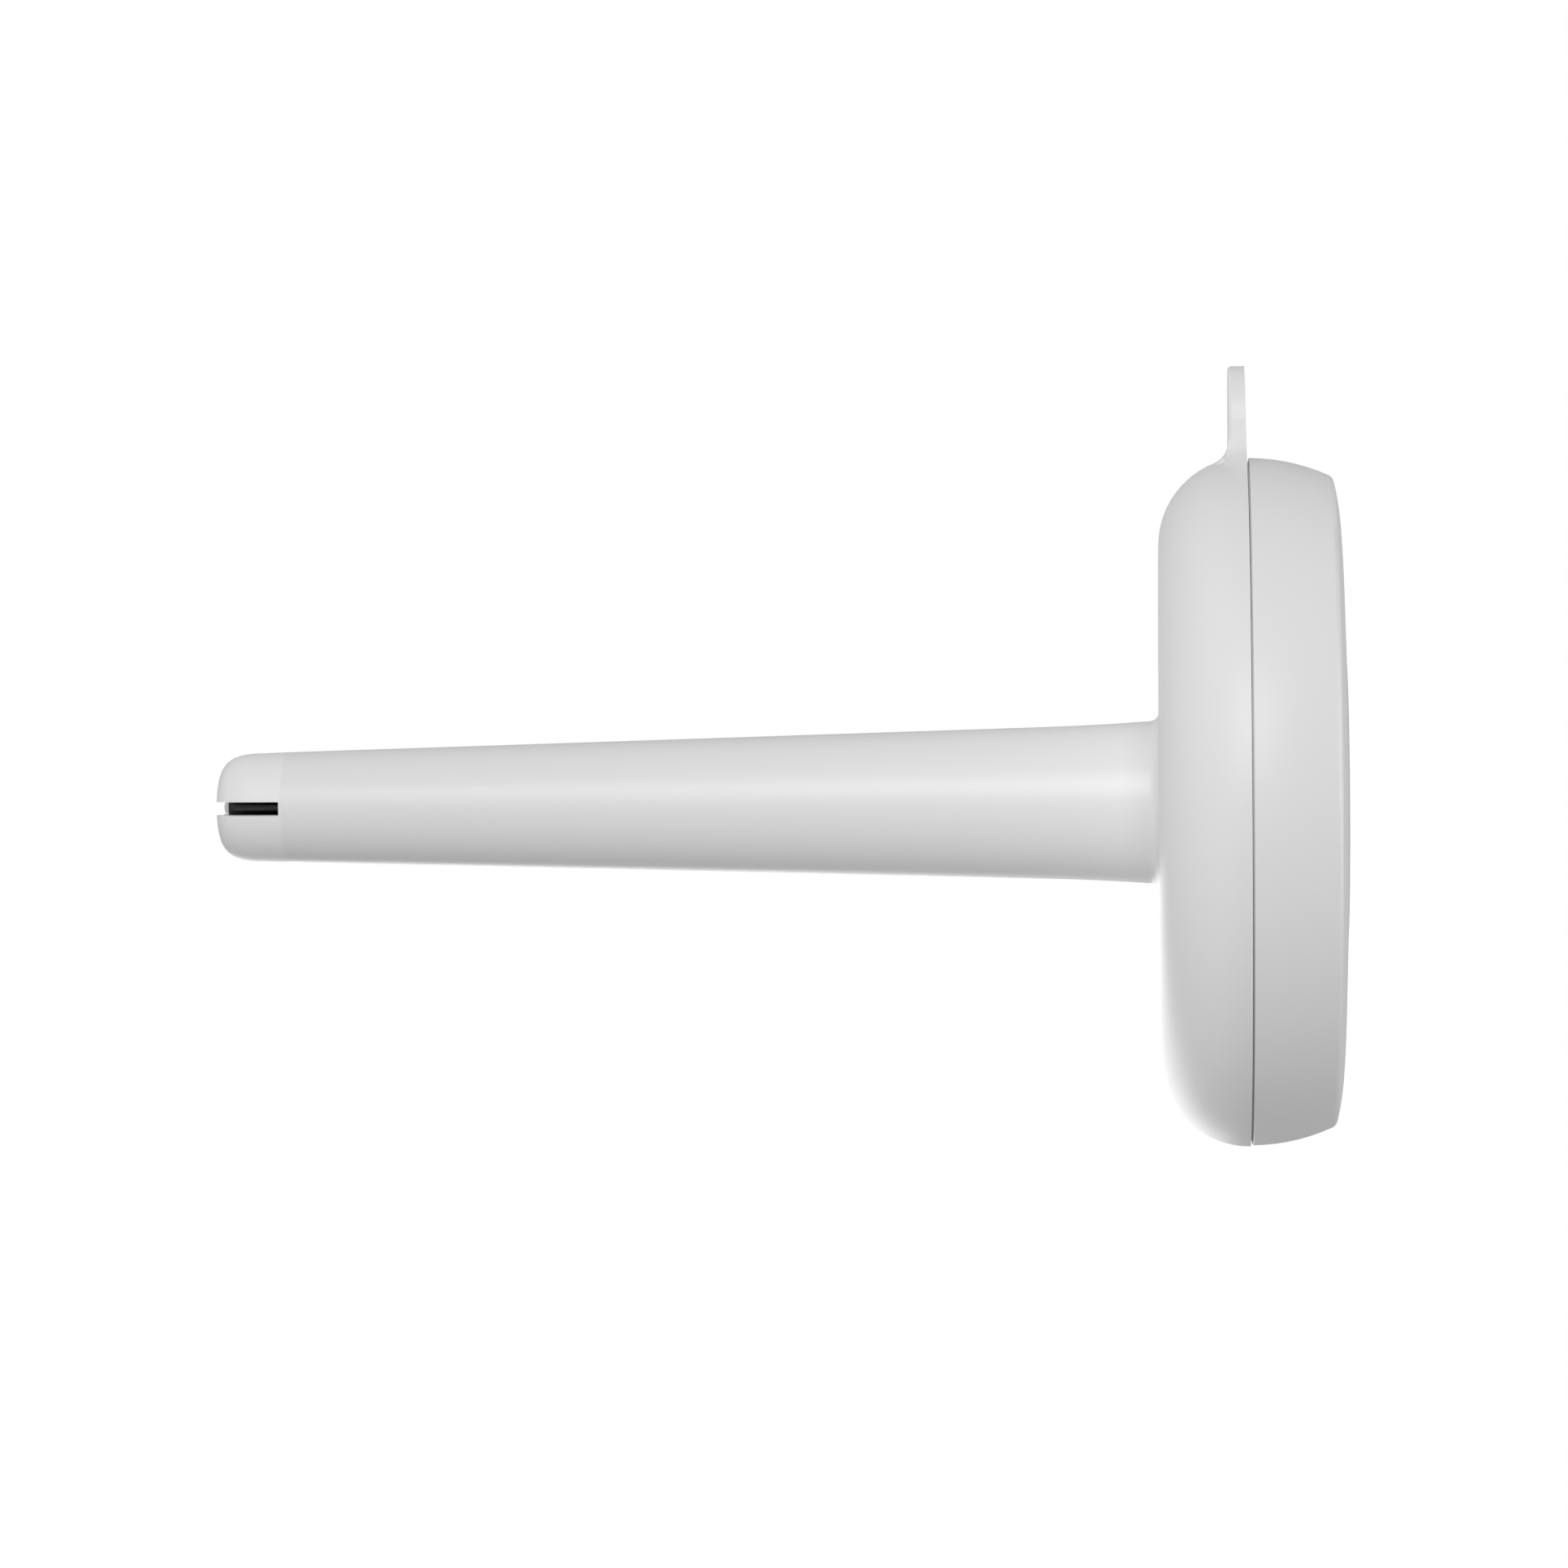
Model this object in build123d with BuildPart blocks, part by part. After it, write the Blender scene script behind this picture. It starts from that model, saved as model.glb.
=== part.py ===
"""Floating water thermometer: a round float head on a long tapered probe stem.

The head is a bowl-shaped float shell, closed by a domed cover that screws onto a threaded ring.
A slim tab with an eye stands out of the float shell's rim for a tether. The stem hangs from the
middle of the float and ends in a slotted guard around a polished probe.

Frame: millimetres, +Z up with the stem hanging down, and the tether tab towards +X. The origin is
on the stem's axis, in the plane of the float's flat underside.
"""

import os
from math import acos, asin, atan2, cos, degrees, hypot, radians, sin, sqrt

from build123d import *

os.makedirs("parts", exist_ok=True)

# ---------------------------------------------------------------- driving dimensions
head_radius = 55.0
shoulder_radius = 14.0  # of the float shell's rounded lower edge
shell_top = 14.1  # where the float shell ends
joint_gap = 0.3  # open line between the float shell and the cover
joint_depth = 0.9
cover_radius = 54.84  # where the cover is widest
cover_side_radius = 31.3
cover_roll_radius = 31.5
cover_roll_start = 45.0  # radius at which the dome starts to roll over
cover_corner_radius = 1.3
cover_edge_radius = 0.2  # along the joint
dome_apex = 29.75
dome_radius = 972.0
wall = 2.2

stem_length = 151.7  # from the float's underside to the end of the guard
guard_length = 11.0
stem_radius_at_guard = 8.9
stem_radius_at_root = 12.63
slot_width = 2.2
slot_length = 10.75
slot_turn = 1.6  # degrees from the plane of the stem's axis and +Y
joint_bevel = 0.22  # on the stem's end, where it meets the guard
probe_radius = 2.0
probe_recess = 0.55  # from the end of the guard to the end of the probe

tab_reach = 69.6  # from the stem's axis to the end of the tab
tab_end_radius = 9.0
tab_back = 11.18
tab_front_draft = 0.25
tab_root_fillet = 3.6
tab_edge_fillet = 0.65  # round the tab's back face
gusset_spread = 24.0  # angle from the tab's middle to where its gussets meet the rim
gusset_draft = 17.0
gusset_height = 3.6
gusset_fillet = 3.5
eye_radius = 2.9

thread_lead = 24.0  # rise of the cover for one turn
thread_starts = 4
thread_rise = 4.0  # of each ridge, along a sixth of a turn
thread_height = 1.6
thread_gap = 0.4  # between the ridges, along the axis
thread_clearance = 0.35  # between crest and root

cell_radius = 7.0
cell_body = 49.2
cell_nub = 1.2
cell_spacing = 58.0  # between the two cells' axes
board_length = 82.0
board_width = 40.0
board_thickness = 1.6
screw_radius = 0.9
screw_head_radius = 2.0
screw_head_height = 1.3
recess_length = 2.2
recess_width = 0.5
recess_depth = 0.7
small_fillet = 0.5

# ---------------------------------------------------------------- worked out from them
flat_radius = head_radius - shoulder_radius
cover_base = shell_top + joint_gap
guard_joint = guard_length - stem_length
stem_taper = (stem_radius_at_root - stem_radius_at_guard) / (stem_length - guard_length)


def stem_radius(z):
    """The radius of the stem's cone at a height, before the flare at its root."""
    return stem_radius_at_root + stem_taper * z


def dome_height(radius):
    """The height of the cover's domed top at a radius."""
    return dome_apex - dome_radius + sqrt(dome_radius**2 - radius**2)


def outer_crossing(centre_1, radius_1, centre_2, radius_2):
    """Where two circles cross, on the side with the larger first coordinate."""
    across, up = centre_2[0] - centre_1[0], centre_2[1] - centre_1[1]
    apart = hypot(across, up)
    along = (radius_1**2 - radius_2**2 + apart**2) / (2 * apart)
    side = sqrt(radius_1**2 - along**2)
    foot = (centre_1[0] + across * along / apart, centre_1[1] + up * along / apart)
    one = (foot[0] + side * up / apart, foot[1] - side * across / apart)
    other = (foot[0] - side * up / apart, foot[1] + side * across / apart)
    return max(one, other)


def angle_from(centre, point):
    """The direction of a point from a centre, in degrees."""
    return degrees(atan2(point[1] - centre[1], point[0] - centre[0]))


# ---------------------------------------------------------------- float shell
flange_radius = 15.0
flange_thickness = 2.4
neck_radius = 12.0
seat_clearance = 0.1
stem_boss_radius = 17.6
stem_boss_top = 4.0
ring_seat_radius = head_radius - wall
ring_seat_floor = 10.8
ledge_radius = 50.6  # inside edge of the ledge that carries the closure ring
tray_screw_circle = 41.5
tray_floor = 4.6
tray_boss_radius = 3.0
tray_hole_depth = 3.2
tab_overlap = 1.0  # how far the tab is sunk in the shell
ring_edge = tab_reach + 4.0  # the ring is a little larger than the tab cut from it

# Where the fillet behind the tab meets its back face.
tab_root = flat_radius + sqrt(
    (shoulder_radius + tab_root_fillet) ** 2 - (shoulder_radius - tab_back + tab_root_fillet) ** 2
)

# Seen from above, the tab is a strip with a round end, and a gusset at each side of its root.
gusset_end = (head_radius * cos(radians(gusset_spread)), head_radius * sin(radians(gusset_spread)))
gusset_start = (head_radius - tab_end_radius * sin(radians(gusset_spread))) / cos(radians(gusset_spread))
with BuildPart() as tab_outline:
    with BuildSketch(Plane.XY.offset(tab_back)):
        with Locations((tab_reach - tab_end_radius, 0)):
            Circle(tab_end_radius)
            Rectangle(tab_end_radius, 2 * tab_end_radius, align=(Align.MAX, Align.CENTER))
    extrude(amount=shell_top - tab_back)
    fillet(tab_outline.faces().sort_by(Axis.Z)[0].edges(), tab_edge_fillet)
    with BuildSketch(Plane.XY.offset(shell_top)):
        with Locations((tab_root, 0)):
            Rectangle(tab_end_radius, 2 * tab_end_radius, align=(Align.MAX, Align.CENTER))
    extrude(amount=-3 * tab_root_fillet)
    with BuildSketch(Plane.XY.offset(shell_top)) as gussets:
        with BuildLine():
            Polyline(
                (head_radius - tab_end_radius, -gusset_end[1]),
                (gusset_end[0], -gusset_end[1]),
                (gusset_start, -tab_end_radius),
                (tab_reach - tab_end_radius, -tab_end_radius),
                (tab_reach - tab_end_radius, tab_end_radius),
                (gusset_start, tab_end_radius),
                gusset_end,
                (head_radius - tab_end_radius, gusset_end[1]),
                close=True,
            )
        make_face()
        fillet(gussets.vertices().group_by(Axis.X)[2], gusset_fillet)
    extrude(amount=-gusset_height, taper=gusset_draft)

# The tab is cut from a ring, so that its root follows the round shoulder.
with BuildPart() as tether_tab:
    with BuildSketch(Plane.XZ):
        with BuildLine():
            root_z = tab_back - tab_root_fillet
            root_reach = shoulder_radius + tab_root_fillet
            share = shoulder_radius / root_reach
            touch = (
                flat_radius + (tab_root - flat_radius) * share,
                shoulder_radius + (root_z - shoulder_radius) * share,
            )
            drop = tab_front_draft * (ring_edge - head_radius) / (tab_reach - head_radius)
            Polyline(
                touch,
                (touch[0] - tab_overlap, touch[1] + tab_overlap),
                (head_radius - tab_overlap, shell_top),
                (head_radius, shell_top),
                (ring_edge, shell_top - drop),
                (ring_edge, tab_back),
                (tab_root, tab_back),
            )
            corner = angle_from((tab_root, root_z), touch)
            CenterArc((tab_root, root_z), tab_root_fillet, 90, corner - 90)
        make_face()
    revolve(axis=Axis.Z)
    add(tab_outline.part, mode=Mode.INTERSECT)

with BuildPart() as float_shell:
    with BuildSketch(Plane.XZ):
        with BuildLine():
            shoulder_centre = (flat_radius, shoulder_radius)
            inner_radius = shoulder_radius - wall
            ledge_angle = degrees(acos((ledge_radius - flat_radius) / inner_radius))
            Polyline(
                (neck_radius + seat_clearance, stem_boss_top),
                (neck_radius + seat_clearance, flange_thickness),
                (flange_radius + seat_clearance, flange_thickness),
                (flange_radius + seat_clearance, 0),
                (flat_radius, 0),
            )
            CenterArc(shoulder_centre, shoulder_radius, -90, 90)
            inner_arc = CenterArc(shoulder_centre, inner_radius, -90, 90 - ledge_angle)
            Polyline(
                (head_radius, shoulder_radius),
                (head_radius, shell_top),
                (ring_seat_radius, shell_top),
                (ring_seat_radius, ring_seat_floor),
                (ledge_radius, ring_seat_floor),
                inner_arc @ 1,
            )
            Polyline(
                (flat_radius, wall),
                (stem_boss_radius, wall),
                (stem_boss_radius, stem_boss_top),
                (neck_radius + seat_clearance, stem_boss_top),
            )
        make_face()
    revolve(axis=Axis.Z)
    # Bosses for the battery tray's screws stand on the floor.
    with BuildSketch(Plane.XY.offset(wall / 2)):
        with PolarLocations(tray_screw_circle, 4):
            Circle(tray_boss_radius)
    extrude(amount=tray_floor - wall / 2)
    with BuildSketch(Plane.XY.offset(tray_floor)):
        with PolarLocations(tray_screw_circle, 4):
            Circle(screw_radius)
    extrude(amount=-tray_hole_depth, mode=Mode.SUBTRACT)
    add(tether_tab.part)
    with BuildSketch(Plane.XY.offset(tab_back - tab_overlap)):
        with Locations((tab_reach - tab_end_radius, 0)):
            Circle(eye_radius)
    extrude(amount=shell_top - tab_back + 2 * tab_overlap, mode=Mode.SUBTRACT)
float_shell.part.label = "float_shell"
export_step(float_shell.part, "parts/float_shell.step")

# ---------------------------------------------------------------- closure ring and its thread
ring_bore = 48.6
ring_root = 50.55  # outside of the ring between its ridges
ring_top = 23.5
ridge_depth = 1.4
ridge_root = 0.3  # how far a ridge is sunk in its wall
cover_bore = ring_root + thread_clearance + ridge_depth
cover_ridge_start = 15.6  # height of the middle of a cover ridge where it begins
ring_ridge_start = cover_ridge_start + thread_height + thread_gap


def thread_ridge(root, start_height, outward):
    """One ridge along the thread's helix, standing out of a root cylinder by the ridge depth."""
    with BuildPart() as ridge:
        with BuildLine() as path:
            Helix(thread_lead, thread_rise, root, center=(0, 0, start_height))
        with BuildSketch(Plane(path.line @ 0, x_dir=(1, 0, 0), z_dir=path.line % 0)):
            with Locations((outward * (ridge_depth - ridge_root) / 2, 0)):
                Rectangle(ridge_depth + ridge_root, thread_height)
        sweep(path=path.line, is_frenet=True)
    return ridge.part


with BuildPart() as closure_ring:
    with BuildSketch(Plane.XZ):
        with BuildLine():
            Polyline(
                (ring_bore, ring_seat_floor),
                (ring_seat_radius, ring_seat_floor),
                (ring_seat_radius, shell_top),
                (ring_root, shell_top),
                (ring_root, ring_top),
                (ring_bore, ring_top),
                close=True,
            )
        make_face()
    revolve(axis=Axis.Z)
    ring_ridge = thread_ridge(ring_root, ring_ridge_start, 1)
    for turn in range(thread_starts):
        add(ring_ridge, rotation=(0, 0, turn * 360 / thread_starts))
closure_ring.part.label = "closure_ring"
export_step(closure_ring.part, "parts/closure_ring.step")

# ---------------------------------------------------------------- cover, its window and its seal
cover_wall = 2.4
seal_radius = 49.55
seal_gland_top = 25.3
seal_cord_radius = 0.85
seal_lip_outer = 47.6
seal_lip_inner = 46.4
seal_lip_bottom = 24.2
window_radius = 24.0
window_seat = dome_apex - 1.6
window_opening = 22.0
bore_relief = 3.0  # height of the cone between the thread's bore and the seal's bore

with BuildPart() as top_cover:
    with BuildSketch(Plane.XZ) as cover_profile:
        with BuildLine():
            side_centre = (cover_radius - cover_side_radius, shell_top)
            lean = cover_roll_start / dome_radius
            roll_centre = (
                cover_roll_start - cover_roll_radius * lean,
                dome_height(cover_roll_start) - cover_roll_radius * sqrt(1 - lean**2),
            )
            edge = outer_crossing(side_centre, cover_side_radius, roll_centre, cover_roll_radius)
            side_low = degrees(asin(joint_gap / cover_side_radius))
            side_high = angle_from(side_centre, edge)
            side = CenterArc(side_centre, cover_side_radius, side_low, side_high - side_low)
            roll_high = angle_from(roll_centre, (cover_roll_start, dome_height(cover_roll_start)))
            roll_low = angle_from(roll_centre, edge)
            CenterArc(roll_centre, cover_roll_radius, roll_low, roll_high - roll_low)
            seat_edge = window_radius + seat_clearance
            dome_centre = (0, dome_apex - dome_radius)
            dome_low = degrees(acos(cover_roll_start / dome_radius))
            dome_high = degrees(acos(seat_edge / dome_radius))
            CenterArc(dome_centre, dome_radius, dome_low, dome_high - dome_low)
            ceiling_radius = dome_radius - cover_wall
            ceiling_low = degrees(acos(seal_lip_inner / ceiling_radius))
            ceiling_high = degrees(acos(window_opening / ceiling_radius))
            ceiling = CenterArc(dome_centre, ceiling_radius, ceiling_low, ceiling_high - ceiling_low)
            Polyline(
                (seat_edge, dome_height(seat_edge)),
                (seat_edge, window_seat),
                (window_opening, window_seat),
                ceiling @ 1,
            )
            Polyline(
                ceiling @ 0,
                (seal_lip_inner, seal_lip_bottom),
                (seal_lip_outer, seal_lip_bottom),
                (seal_lip_outer, seal_gland_top),
                (cover_bore - ridge_depth, seal_gland_top),
                (cover_bore - ridge_depth, seal_gland_top - bore_relief / 3),
                (cover_bore, seal_gland_top - bore_relief),
                (cover_bore, shell_top + seat_clearance),
                (head_radius - joint_depth, shell_top + seat_clearance),
                (head_radius - joint_depth, cover_base),
                side @ 0,
            )
        make_face()
        fillet(cover_profile.vertices().sort_by_distance(edge)[0], cover_corner_radius)
        fillet(cover_profile.vertices().sort_by_distance(side @ 0)[0], cover_edge_radius)
    revolve(axis=Axis.Z)
    cover_ridge = thread_ridge(cover_bore, cover_ridge_start, -1)
    for turn in range(thread_starts):
        add(cover_ridge, rotation=(0, 0, turn * 360 / thread_starts))
top_cover.part.label = "top_cover"
export_step(top_cover.part, "parts/top_cover.step")

with BuildPart() as display_window:
    with BuildSketch(Plane.XZ):
        with BuildLine():
            top_low = degrees(acos(window_radius / dome_radius))
            CenterArc(dome_centre, dome_radius, top_low, 90 - top_low)
            Polyline(
                (0, dome_apex),
                (0, window_seat),
                (window_radius, window_seat),
                (window_radius, dome_height(window_radius)),
            )
        make_face()
    revolve(axis=Axis.Z)
display_window.part.label = "display_window"
export_step(display_window.part, "parts/display_window.step")

with BuildPart() as cover_o_ring:
    with Locations((0, 0, (ring_top + seal_gland_top) / 2)):
        Torus(seal_radius, seal_cord_radius)
cover_o_ring.part.label = "cover_o_ring"
export_step(cover_o_ring.part, "parts/cover_o_ring.step")

# ---------------------------------------------------------------- stem
root_fillet = 1.7
flare_start = -18.0
root_radius = 12.95  # of the stem just below its root fillet
stem_bore_at_guard = 6.8
stem_bore_at_neck = 9.6
gland_top = -130.0
neck_top = 8.6
nut_height = 4.0
nut_radius = 16.5
nut_notch_depth = 1.5
nut_notch_width = 4.0
stem_seal_radius = 13.6
stem_seal_cord = 0.55
groove_width = 1.4
groove_depth = 1.1

with BuildPart() as stem_tube:
    with BuildSketch(Plane.XZ):
        with BuildLine():
            flare_end = (root_radius, -root_fillet)
            flare_begin = (stem_radius(flare_start), flare_start)
            bevel_top = (stem_radius(guard_joint + joint_bevel), guard_joint + joint_bevel)
            Line(bevel_top, flare_begin)
            TangentArc(flare_begin, flare_end, tangent=(stem_taper, 1))
            CenterArc((root_radius + root_fillet, -root_fillet), root_fillet, 90, 90)
            Polyline(
                (root_radius + root_fillet, 0),
                (flange_radius, 0),
                (flange_radius, flange_thickness),
                (stem_seal_radius + groove_width / 2, flange_thickness),
                (stem_seal_radius + groove_width / 2, flange_thickness - groove_depth),
                (stem_seal_radius - groove_width / 2, flange_thickness - groove_depth),
                (stem_seal_radius - groove_width / 2, flange_thickness),
                (neck_radius, flange_thickness),
                (neck_radius, neck_top),
                (stem_bore_at_neck, neck_top),
                (stem_bore_at_neck, -root_fillet * 4),
                (stem_bore_at_guard, gland_top),
                (stem_bore_at_guard, guard_joint),
                (stem_radius_at_guard - joint_bevel, guard_joint),
                bevel_top,
            )
        make_face()
    revolve(axis=Axis.Z)
stem_tube.part.label = "stem_tube"
export_step(stem_tube.part, "parts/stem_tube.step")

with BuildPart() as stem_o_ring:
    with Locations((0, 0, flange_thickness - stem_seal_cord)):
        Torus(stem_seal_radius, stem_seal_cord)
stem_o_ring.part.label = "stem_o_ring"
export_step(stem_o_ring.part, "parts/stem_o_ring.step")

with BuildPart() as stem_lock_nut:
    with BuildSketch(Plane.XY.offset(stem_boss_top)):
        Circle(nut_radius)
        Circle(neck_radius, mode=Mode.SUBTRACT)
        with PolarLocations(nut_radius, 6):
            Rectangle(2 * nut_notch_depth, nut_notch_width, mode=Mode.SUBTRACT)
    extrude(amount=nut_height)
stem_lock_nut.part.label = "stem_lock_nut"
export_step(stem_lock_nut.part, "parts/stem_lock_nut.step")

# ---------------------------------------------------------------- probe end
guard_bore = 3.2
nose_flat = 3.4  # radius of the flat at the guard's end
nose_shoulder = 7.9
nose_side = 8.77
nose_rise = 2.65
nose_height = 7.3
spigot_bore = 4.6
spigot_length = 3.4
gland_groove = 1.1
gland_groove_width = 1.4
sleeve_top = -112.0
sleeve_wall = 0.4
bead_radius = 1.3
lead_radius = 0.45
lead_spacing = 1.5

with BuildPart() as guard_cap:
    with BuildSketch(Plane.XZ):
        with BuildLine():
            Line((guard_bore, -stem_length), (guard_bore, guard_joint))
            Line((guard_bore, -stem_length), (nose_flat, -stem_length))
            nose = Bezier(
                (nose_flat, -stem_length),
                (nose_shoulder, -stem_length),
                (nose_side, nose_rise - stem_length),
                (nose_side, nose_height - stem_length),
            )
            Polyline(
                nose @ 1,
                (stem_radius_at_guard, guard_joint),
                (stem_bore_at_guard, guard_joint),
                (stem_bore_at_guard, guard_joint + spigot_length),
                (spigot_bore, guard_joint + spigot_length),
                (spigot_bore, guard_joint),
                (guard_bore, guard_joint),
            )
        make_face()
    revolve(axis=Axis.Z)
    # One slot runs through the guard from side to side and ends just short of the joint.
    with BuildSketch(Plane.XY.offset(-stem_length)):
        Rectangle(slot_width, 3 * stem_radius_at_guard, rotation=slot_turn)
    extrude(amount=slot_length, mode=Mode.SUBTRACT)
guard_cap.part.label = "guard_cap"
export_step(guard_cap.part, "parts/guard_cap.step")

with BuildPart() as sensor_sleeve:
    with BuildSketch(Plane.XZ):
        with BuildLine():
            nose_centre = (0, probe_recess + probe_radius - stem_length)
            outside = CenterArc(nose_centre, probe_radius, -90, 90)
            inside = CenterArc(nose_centre, probe_radius - sleeve_wall, -90, 90)
            Line(outside @ 0, inside @ 0)
            Polyline(
                outside @ 1,
                (probe_radius, sleeve_top),
                (probe_radius - sleeve_wall, sleeve_top),
                inside @ 1,
            )
        make_face()
    revolve(axis=Axis.Z)
sensor_sleeve.part.label = "sensor_sleeve"
export_step(sensor_sleeve.part, "parts/sensor_sleeve.step")

gland_bottom = guard_joint + spigot_length
gland_middle = (gland_bottom + gland_top) / 2
with BuildPart() as sensor_gland:
    with BuildSketch(Plane.XY.offset(gland_bottom)):
        Circle(stem_bore_at_guard)
        Circle(probe_radius, mode=Mode.SUBTRACT)
    extrude(amount=gland_top - gland_bottom)
    with BuildSketch(Plane.XY.offset(gland_middle - gland_groove_width / 2)):
        Circle(stem_bore_at_guard)
        Circle(stem_bore_at_guard - gland_groove, mode=Mode.SUBTRACT)
    extrude(amount=gland_groove_width, mode=Mode.SUBTRACT)
sensor_gland.part.label = "sensor_gland"
export_step(sensor_gland.part, "parts/sensor_gland.step")

with BuildPart() as gland_o_ring:
    with Locations((0, 0, gland_middle)):
        Torus(stem_bore_at_guard - gland_groove / 2, gland_groove / 2)
gland_o_ring.part.label = "gland_o_ring"
export_step(gland_o_ring.part, "parts/gland_o_ring.step")

bead_height = probe_recess + probe_radius + bead_radius / 2 - stem_length
with BuildPart() as thermistor_bead:
    with Locations((0, 0, bead_height)):
        Sphere(bead_radius)
thermistor_bead.part.label = "thermistor_bead"
export_step(thermistor_bead.part, "parts/thermistor_bead.step")

# ---------------------------------------------------------------- ballast
ballast_length = 46.0
ballast_radius = 6.6
ballast_clearance = 0.3  # round the probe
ballast_chamfer = 0.6
with BuildPart() as ballast_slug:
    with BuildSketch(Plane.XY.offset(gland_top)):
        Circle(ballast_radius)
        Circle(probe_radius + ballast_clearance, mode=Mode.SUBTRACT)
    extrude(amount=ballast_length)
    chamfer(ballast_slug.faces().sort_by(Axis.Z)[-1].outer_wire().edges(), ballast_chamfer)
ballast_slug.part.label = "ballast_slug"
export_step(ballast_slug.part, "parts/ballast_slug.step")

# ---------------------------------------------------------------- battery tray
tray_radius = 46.0
tray_thickness = 1.4
tray_top = tray_floor + tray_thickness
tray_hole_radius = 17.4
cell_axis = tray_top + 1 + cell_radius
cell_y = cell_spacing / 2
end_wall_inside = 27.5
end_wall_thickness = 1.5
end_wall_width = 12.0
cradle_spacing = 30.0
cradle_thickness = 2.0
cradle_drop = 3.5  # from the cells' axes down to the tops of the cradles
board_floor = 18.0
pillar_x = 37.0
pillar_y = 16.0
pillar_radius = 2.8
pillar_hole_depth = 6.0

with BuildPart() as battery_tray:
    with BuildSketch(Plane.XY.offset(tray_floor)):
        Circle(tray_radius)
        Circle(tray_hole_radius, mode=Mode.SUBTRACT)
        with PolarLocations(tray_screw_circle, 4):
            Circle(screw_radius, mode=Mode.SUBTRACT)
    extrude(amount=tray_thickness)
    with BuildSketch(Plane.XY.offset(tray_floor)):
        with GridLocations(2 * end_wall_inside + end_wall_thickness, cell_spacing, 2, 2):
            Rectangle(end_wall_thickness, end_wall_width)
        with GridLocations(cradle_spacing, cell_spacing, 2, 2):
            Rectangle(cradle_thickness, end_wall_width)
        with GridLocations(2 * pillar_x, 2 * pillar_y, 2, 2):
            Circle(pillar_radius)
    extrude(amount=board_floor - tray_floor)
    # The ribs between the end walls are cut down to cradles for the cells.
    with BuildSketch(Plane.YZ.offset(-end_wall_inside)):
        with Locations((-cell_y, cell_axis), (cell_y, cell_axis)):
            Circle(cell_radius)
        with Locations((0, board_floor)):
            Rectangle(2 * tray_radius, 2 * (board_floor - cell_axis + cradle_drop))
        with Locations((0, board_floor)):
            Rectangle(board_width, 2 * board_floor, mode=Mode.SUBTRACT)
    extrude(amount=2 * end_wall_inside, mode=Mode.SUBTRACT)
    with BuildSketch(Plane.XY.offset(board_floor)):
        with GridLocations(2 * pillar_x, 2 * pillar_y, 2, 2):
            Circle(screw_radius)
    extrude(amount=-pillar_hole_depth, mode=Mode.SUBTRACT)
battery_tray.part.label = "battery_tray"
export_step(battery_tray.part, "parts/battery_tray.step")


def screw(head_seat, shank_length):
    """A pan-head screw on the Z axis, with its head's underside at a height."""
    with BuildPart() as fastener:
        with BuildSketch(Plane.XY.offset(head_seat)):
            Circle(screw_head_radius)
        extrude(amount=screw_head_height)
        fillet(fastener.faces().sort_by(Axis.Z)[-1].edges(), small_fillet)
        with BuildSketch(Plane.XY.offset(head_seat)):
            Circle(screw_radius)
        extrude(amount=-shank_length)
        with BuildSketch(Plane.XY.offset(head_seat + screw_head_height)):
            Rectangle(recess_length, recess_width)
            Rectangle(recess_width, recess_length)
        extrude(amount=-recess_depth, mode=Mode.SUBTRACT)
    return fastener.part


tray_screw_shank = 4.0
tray_screw_spots = PolarLocations(tray_screw_circle, 4).locations
for number, spot in enumerate(tray_screw_spots, 1):
    with BuildPart() as tray_screw:
        add(screw(tray_top, tray_screw_shank).locate(Location(spot.position)))
    tray_screw.part.label = f"tray_screw_{number}"
    export_step(tray_screw.part, f"parts/tray_screw_{number}.step")

# ---------------------------------------------------------------- cells, contacts and springs
contact_thickness = 0.5
contact_width = 9.0
contact_height = 8.0
nub_radius = 2.75
nub_sink = 0.2  # how far the nub is sunk in its cell
spring_wire = 0.4
spring_radius = 3.6
spring_turns = 3
positive_end = end_wall_inside - contact_thickness
negative_end = positive_end - cell_nub - cell_body

for number, way in enumerate((1, -1), 1):
    with BuildPart() as battery_cell:
        with BuildSketch(Plane.YZ.offset(way * negative_end)):
            with Locations((way * cell_y, cell_axis)):
                Circle(cell_radius)
        extrude(amount=way * cell_body)
        fillet(battery_cell.edges().filter_by(GeomType.CIRCLE), small_fillet)
        with BuildSketch(Plane.YZ.offset(way * (positive_end - cell_nub - nub_sink))):
            with Locations((way * cell_y, cell_axis)):
                Circle(nub_radius)
        extrude(amount=way * (cell_nub + nub_sink))
    battery_cell.part.label = f"battery_cell_{number}"
    export_step(battery_cell.part, f"parts/battery_cell_{number}.step")

    with BuildPart() as contact_plate:
        with Locations((way * (end_wall_inside - contact_thickness / 2), way * cell_y, cell_axis)):
            Box(contact_thickness, contact_width, contact_height)
    contact_plate.part.label = f"contact_plate_{number}"
    export_step(contact_plate.part, f"parts/contact_plate_{number}.step")

    with BuildPart() as battery_spring:
        with BuildLine() as coil:
            spring_height = end_wall_inside + negative_end - 2 * spring_wire
            Helix(
                spring_height / spring_turns,
                spring_height,
                spring_radius,
                center=(way * (spring_wire - end_wall_inside), way * cell_y, cell_axis),
                direction=(way, 0, 0),
            )
        with BuildSketch(Plane(coil.line @ 0, z_dir=coil.line % 0)):
            Circle(spring_wire)
        sweep(path=coil.line, is_frenet=True)
    battery_spring.part.label = f"battery_spring_{number}"
    export_step(battery_spring.part, f"parts/battery_spring_{number}.step")

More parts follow.
